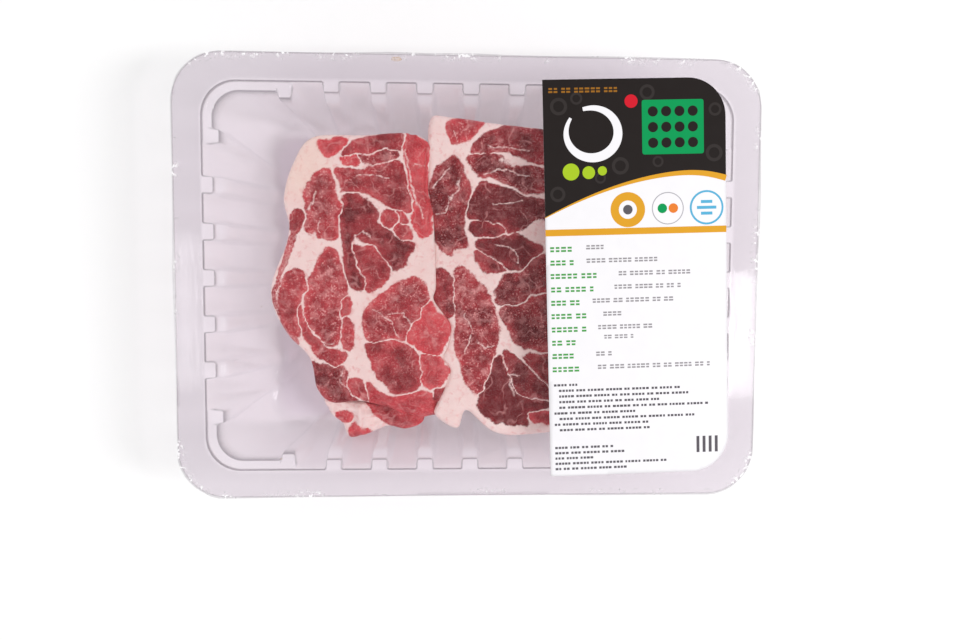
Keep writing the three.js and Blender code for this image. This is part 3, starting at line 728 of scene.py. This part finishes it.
RIGHT_MUSCLES = [
    (0.85, 0.7, [(-8.5, 64), (-3, 65.5), (5, 65), (3.5, 62), (-1.5, 57), (-6.5, 55.5), (-8, 59)]),
    (0.3, 0.45, [(2, 55), (7.5, 60), (14.5, 62.5), (22.5, 61.5), (35, 60), (37, 51), (29, 48),
                 (20.5, 50.5), (12.5, 53), (6.5, 51.5), (1, 52.5)]),
    (0.25, 0.6, [(-0.5, 50), (4.5, 50.5), (11.5, 50), (16.5, 46.5), (28, 45.5), (35, 43), (32, 37.5),
                 (24.5, 36.5), (16.5, 39.5), (8.5, 43), (4.5, 41.5), (1.5, 46)]),
    (0.35, 0.55, [(-9, 48.5), (-6, 50), (-3.5, 46), (-1.5, 40), (-0.5, 34.5), (-2, 28.5), (-3, 20.5),
                  (-2, 14), (-6, 12.5), (-8.5, 10), (-11, 12), (-14.5, 16), (-14.5, 23.5), (-17, 31.5),
                  (-16, 38.5), (-13, 44.5)]),
    (0.1, 0.25, [(3.5, 38), (8.5, 39), (16.5, 36.5), (24.5, 33.5), (34, 31.5), (34, 24.5), (27, 25),
                 (20.5, 20), (15, 20), (13.5, 23.5), (7.5, 24.5), (0.5, 25), (0, 29.5)]),
    (0.2, 0.1, [(1, 22.5), (5.5, 23.5), (11.5, 22.5), (13.5, 20.5), (10.5, 18), (6, 17), (1.5, 19.5)]),
    (0.12, 0.1, [(4, 15.5), (12.5, 18), (19.5, 18), (25.5, 15), (30, 12.5), (24.5, 7), (21, 4),
                 (15.5, 5), (9.5, 9.5), (3, 13)]),
    (0.35, 0.3, [(2, 11), (7.5, 9), (12.5, 6), (15, 4), (10.5, 3), (6, 3.5), (3.5, 7)]),
    (0.2, 0.5, [(32.5, 9), (28, 8.5), (21.5, 2), (15.5, 1), (12.5, -3.5), (11.5, -9.5), (17.5, -10),
                (25.5, -6.5), (35, -3.5), (37, 4)]),
    (0.3, 0.6, [(13.5, -12), (20.5, -11), (28, -7), (37, -4.5), (39, -16.5), (36, -27.5), (24.5, -28.5),
                (18.5, -23.5), (15, -17.5)]),
    (0.45, 1, [(-5.5, 2.5), (-3, 4.5), (1, 1), (6.5, -5), (10, -13.5), (12, -24.5), (10, -33), (7, -42),
               (5, -47.5), (0, -44.5), (-3, -38), (-5, -28.5), (-4.5, -14.5), (-5.5, -5)]),
    (0.3, 0.4, [(-14, 3.5), (-9.5, 2), (-6.5, -4), (-6.5, -14), (-10, -14.5), (-14, -9.5), (-14.5, -5)]),
    (0.03, 0.1, [(11, -33.5), (14.5, -33.5), (16.5, -41), (20.5, -48), (27, -50.5), (35, -51.5),
                 (29, -55), (23.5, -56.5), (24.5, -60.5), (16.5, -60.5), (9.5, -58.5), (4, -52.5),
                 (6, -46), (9, -39)]),
    (0.15, 0.3, [(15.5, -31), (18.5, -32), (24.5, -37.5), (33, -46), (37, -52), (28, -49.5), (20.5, -47),
                 (17.5, -40.5), (15, -35)]),
    (0.3, 0.2, [(23.5, -32.5), (30, -32), (41, -30.5), (43, -49), (34, -44.5), (28, -38)]),
    (0.6, 0.2, [(25.5, -56.5), (31, -55.5), (39, -55), (38, -59.5), (30, -60.5), (26.5, -58.5)]),
    (0.3, 0.4, [(40, 52), (54, 51), (64, 40), (67, 24), (54, 20), (40, 28), (37, 40)]),
    (0.4, 0.6, [(40, 22), (52, 16), (68, 18), (70, -6), (60, -16), (44, -12), (39, 4)]),
    (0.2, 0.3, [(42, -18), (58, -20), (68, -14), (66, -34), (54, -50), (46, -46), (42, -30)]),
]
RIGHT_LINES = [
    (0.5, [(-15.5, 37), (-12, 41), (-9, 45)]), (0.5, [(-8.5, 32), (-6, 36), (-4, 40)]),
    (0.4, [(-13.5, 26), (-10, 27.5), (-9, 31)]), (0.4, [(10, 31.5), (15, 31), (21.5, 32.5)]),
    (0.45, [(10, 14.5), (16, 14), (20, 10), (19.5, 6)]), (0.6, [(16.5, -39.5), (21, -40)]),
    (0.6, [(16.8, -42), (18, -46), (19.5, -48.5)]), (0.5, [(5, 43), (12, 45), (24, 42.5)]),
    (0.5, [(8, 55), (15, 53.5), (24, 53)]), (1.2, [(12.5, 48.5), (18, 46.5)]),
    (0.5, [(3.5, -27), (7, -29), (11, -27.5)]),
    (0.4, [(-2, -14), (1, -22), (-1, -31)]), (0.4, [(-5.5, 60), (-4.5, 56)]),
]

LOWER_MUSCLES = [
    (0.55, 0.3, [(-45, -50), (-41, -54), (-38, -58), (-33, -62), (-27, -63.6), (-20.5, -61), (-18, -54),
                 (-20, -40), (-40, -40)]),
    (0.8, 0.6, [(-55, -56.5), (-51.5, -56.5), (-50, -58.5), (-52, -60.5), (-55, -59.5)]),
    (0.85, 0.5, [(-49, -62), (-46, -64.5), (-42, -65), (-43, -67), (-49, -68)]),
    (0.4, 0.5, [(-60, -30), (-30, -36), (20, -40), (56, -30), (58, 20), (20, 44), (-40, 44), (-62, 20),
                (-66, -8)]),
]
# How far the red reaches past a muscle's outline, and the thinnest fat left between two muscles
MUSCLE_SPREAD, THIN_FAT = 0.95, 0.8
# Waves in the muscles' outlines: size and reach
OUTLINE_WAVES = ((5.0, 0.8), (2.3, 0.5), (1.1, 0.25))
# How much darker the right slice's muscles are
RIGHT_DARKER = 0.15


def paint_meat(x, y, muscles, sides, lines, strip, seed):
    """For every point: share of fat, brightness, marbling, share of a cut side, and depth in its muscle."""
    wx, wy = x.copy(), y.copy()
    for number, (size, shift) in enumerate(OUTLINE_WAVES):
        wx += shift * hills(x, y, size, seed + 2 * number)
        wy += shift * hills(x, y, size, seed + 2 * number + 1)
    first, second = np.full(x.shape, -4.0), np.full(x.shape, -4.0)
    tone, marble, side = np.full(x.shape, 0.4), np.full(x.shape, 0.4), np.zeros(x.shape)
    for is_side, group in enumerate((muscles, sides)):
        for brightness, marbling, points in group:
            d, _, _ = distance_inside(wx, wy, smooth_loop(points, 5), 4.0)
            over = d > first
            second = np.where(over, first, np.maximum(second, d))
            tone[over], marble[over] = brightness, marbling
            first = np.maximum(first, d)
            side = np.maximum(side, is_side * smoothstep(-0.5, 1.5, d))
    red = np.clip((first + MUSCLE_SPREAD) / 1.2 + 0.5, 0, 1)
    red *= np.where(side > 0.3, 1, smoothstep(0.0, THIN_FAT, first - second))
    for width, points in lines:
        red *= 1 - 0.62 * smoothstep(width * 1.3, 0.0, line_distance(wx, wy, points))
    if strip:
        red = np.maximum(red, 0.75 * smoothstep(1.5, 0.9, line_distance(wx, wy, strip)))
    tone = tone + 0.22 * smoothstep(2.5, -0.5, first) - 0.05
    return 1 - red, tone, marble, side, first


def make_slice(name, node, outline, levels, centre_rise, paint, seam, material, seed, rise=None):
    """A slice as a mesh closed all round: its top, its rounded edge, its side and its underside."""
    bottom, top = levels
    x, y, depth, faces, rim, near_x, near_y = clipped_grid(smooth_loop(outline, 10), SLICE_CELL)
    fat, tone, marble, side, inside = paint_meat(x, y, *paint, seed)
    at_seam = smoothstep(3.0, 1.0, line_distance(near_x, near_y, SEAM)) if seam else np.zeros(x.shape)
    seam_rounding, seam_height = seam or (0, 0)
    rounding = (EDGE_ROUNDING + SIDE_ROUNDING * side) * (1 - at_seam)
    rounding = rounding + (seam_rounding + SEAM_SIDE_ROUNDING * side) * at_seam
    height = (EDGE_HEIGHT + SIDE_HEIGHT * side) * (1 - at_seam)
    height = height + (seam_height + SEAM_SIDE_HEIGHT * side) * at_seam
    share = np.clip(1 - depth / rounding, 0, 1)
    drop = height * (1 - np.sqrt(1 - share * share * 0.98))
    lift = centre_rise * hills(x, y, 34.0, seed + 11) + 0.28 * hills(x, y, 7.0, seed + 12)
    groove = -0.22 * np.exp(-((inside + MUSCLE_SPREAD) / 0.6) ** 2)
    z = top - 0.5 - drop + lift + groove + 0.06 * hills(x, y, 1.1, seed + 13)
    if rise is not None:
        z = z + rise(x, y)
    points = [np.stack([x, y, z], 1)]
    warm = smoothstep(-50.0, -64.0, x) * smoothstep(26.0, 40.0, y)
    values = {"fat": [fat], "tone": [tone], "marble": [marble], "warm": [warm]}
    edge = np.unique(rim)
    inward = np.array([x.mean(), y.mean()]) - np.stack([x[edge], y[edge]], 1)
    inward /= np.hypot(*inward.T)[:, None]
    place = np.full(x.size, -1)
    place[edge] = np.arange(edge.size)
    a, b = place[rim[:, 0]], place[rim[:, 1]]
    count, previous, all_faces = x.size, edge, list(faces)
    for part, step in SIDE_STEPS:
        level = z[edge] * (1 - part) + bottom * part
        outward = np.full(edge.size, step) if part == 1.0 else step * (1 - at_seam[edge])
        points.append(np.concatenate([points[0][edge, :2] + inward * outward[:, None], level[:, None]], 1))
        for array in values.values():
            array.append(array[0][edge])
        current = count + np.arange(edge.size)
        all_faces += list(np.stack([previous[b], previous[a], current[a], current[b]], 1))
        previous, count = current, count + edge.size
    after = dict(zip(a, b))
    walk = [a[0]]
    while after[walk[-1]] != walk[0]:
        walk.append(after[walk[-1]])
    all_faces.append(previous[walk][::-1])
    piece = add_piece(name, np.concatenate(points), all_faces, [material], node)
    add_values(piece, **{key: np.concatenate(arrays) for key, arrays in values.items()})


def end_rise(x, y):
    """The lower slice's end turns up, lumpy, against the near wall."""
    share = smoothstep(-51.0, -53.5, y + 0.10 * (x + 40)) * smoothstep(-12.0, -20.0, x)
    return share * (LOWER_END_TOP - LOWER_TOP + 1.7 * hills(x, y, 5.0, 77) + 0.9 * hills(x, y, 2.3, 78))


# Marks on the film: place, half length, half width and turn
MARKS = ((-28.8, 84.6, 2.6, 1.0, 0.05), (-74.5, -71.2, 0.6, 0.3, 0.5), (-81.5, -11.0, 0.5, 0.15, 1.2))
MARK_LEVEL = FILM_LEVEL + 0.25


def make_marks(material):
    """A faint smear and two specks on the film."""
    points, faces = [], []
    for number, (x, y, long_half, short_half, turn) in enumerate(MARKS):
        chance = np.random.default_rng(60 + number)
        angles = np.linspace(0, 2 * math.pi, 18, endpoint=False)
        reach = chance.uniform(0.7, 1.0, angles.size)
        a, b = long_half * reach * np.cos(angles), short_half * reach * np.sin(angles)
        start = len(points)
        points += [(x + p * math.cos(turn) - q * math.sin(turn), y + p * math.sin(turn) + q * math.cos(turn),
                    MARK_LEVEL) for p, q in zip(a, b)]
        faces.append(range(start, start + angles.size))
    add_piece("film_marks", points, faces, [material], None)


def moved(points, step):
    return [(x + step, y) for x, y in points]


def smear_material():
    """A thin brown smear that lets much of what is under it show."""
    s = Surface("smear")
    body = s.add("ShaderNodeBsdfDiffuse", Color=srgb(206, 176, 140)).outputs[0]
    through = s.add("ShaderNodeBsdfTransparent").outputs[0]
    return s.finish(s.layer(s.spread(s.noise(0.6), 0.3, 0.7, 0.25, 0.6), through, body))


tray_plastic = clear_plastic("clear_tray", (0.955, 0.91, 0.95, 1), (0.86, 0.81, 0.855, 1),
                             (0.86, 0.77, 0.85, 1), 0.2, 0.08, 0.03)
film_plastic = clear_plastic("clear_film", (0.985, 0.98, 0.985, 1), (0.96, 0.95, 0.96, 1),
                             (0.8, 0.78, 0.8, 1), 0.008, 0.06, 0.035, crumpled=True)
stock = printed("label_white", srgb(236, 234, 237), 0.4)
pork = meat_material()

make_tray(tray_plastic)
make_film(film_plastic)
make_label(stock)
make_print()
make_marks(smear_material())
make_slice("left_slice", "slice_left", moved(SEAM, HALF_SEAM) + LEFT_OUTLINE, (UPPER_BOTTOM, UPPER_TOP),
           0.6, (LEFT_MUSCLES, LEFT_SIDES, LEFT_LINES, LEFT_STRIP), (1.4, 0.7), pork, 100)
darker = [(tone - RIGHT_DARKER, marble, points) for tone, marble, points in RIGHT_MUSCLES]
make_slice("right_slice", "slice_right", RIGHT_OUTLINE + moved(SEAM, -HALF_SEAM)[::-1],
           (UPPER_BOTTOM, UPPER_TOP), 0.6, (darker, [], RIGHT_LINES, None), (2.6, 2.2), pork, 200)
make_slice("lower_slice", "slice_lower", LOWER_OUTLINE, (LOWER_BOTTOM, LOWER_TOP), 0.2,
           (LOWER_MUSCLES, [], [], None), None, pork, 300, end_rise)


# Studio: pale floor, even light and a soft lamp to either side, which the film's edges mirror.
# Its sizes are in metres.

FLOOR_REACH, FLOOR_LEVEL = 3, -0.0002
# A lamp hangs straight above a point: place, width, depth and power
LAMPS = {
    "left_box": ((-0.53, -0.044, 0.64), 0.45, 0.184, 1.3),
    "right_box": ((0.56, -0.07, 0.64), 0.45, 0.15, 3.0),
}
DAYLIGHT = 0.74


def make_floor():
    mesh = bpy.data.meshes.new("studio_floor")
    low, high = -FLOOR_REACH, FLOOR_REACH
    corners = [(x, y, FLOOR_LEVEL) for x, y in ((low, low), (high, low), (high, high), (low, high))]
    mesh.from_pydata(corners, [], [(0, 1, 2, 3)])
    floor = bpy.data.objects.new("studio_floor", mesh)
    bpy.context.scene.collection.objects.link(floor)
    s = Surface("pale_floor")
    body = s.add("ShaderNodeBsdfPrincipled", Roughness=0.9,
                 Base_Color=s.blend(s.noise(60.0), (0.97, 0.97, 0.975, 1), (0.985, 0.985, 0.985, 1)))
    body.inputs["Specular IOR Level"].default_value = 0.1
    mesh.materials.append(s.finish(body.outputs[0]))


def add_lamp(name, place, width, depth, power):
    """A lamp shines along its own -Z, so it needs no turn to shine straight down."""
    lamp = bpy.data.lights.new(name, "AREA")
    lamp.shape, lamp.size, lamp.size_y, lamp.energy = "RECTANGLE", width, depth, power
    piece = bpy.data.objects.new(name, lamp)
    bpy.context.scene.collection.objects.link(piece)
    piece.location = place


make_floor()
for name, (place, width, depth, power) in LAMPS.items():
    add_lamp(name, place, width, depth, power)
world = bpy.data.worlds.new("studio")
bpy.context.scene.world = world
world.use_nodes = True
world.node_tree.nodes["Background"].inputs["Color"].default_value = (1, 1, 1, 1)
world.node_tree.nodes["Background"].inputs["Strength"].default_value = DAYLIGHT

# Camera: almost straight above the pack
SENSOR_WIDTH = 36.0
FOCAL_PIXELS, IMAGE_WIDTH = 750, 960
CAMERA_RIGHT = (0.99903, 0.00427, 0.04393)
CAMERA_UP = (-0.00165, 0.99822, -0.05961)
CAMERA_BACK = (-0.04411, 0.05948, 0.99725)
CAMERA_PLACE = (-0.00934, 0.00153, 0.33903)
camera_data = bpy.data.cameras.new("camera")
camera_data.sensor_width, camera_data.lens = SENSOR_WIDTH, SENSOR_WIDTH * FOCAL_PIXELS / IMAGE_WIDTH
camera = bpy.data.objects.new("camera", camera_data)
bpy.context.scene.collection.objects.link(camera)
camera.matrix_world = Matrix((*zip(CAMERA_RIGHT, CAMERA_UP, CAMERA_BACK, CAMERA_PLACE), (0, 0, 0, 1)))
bpy.context.scene.camera = camera
bpy.context.scene.view_settings.view_transform = "Standard"
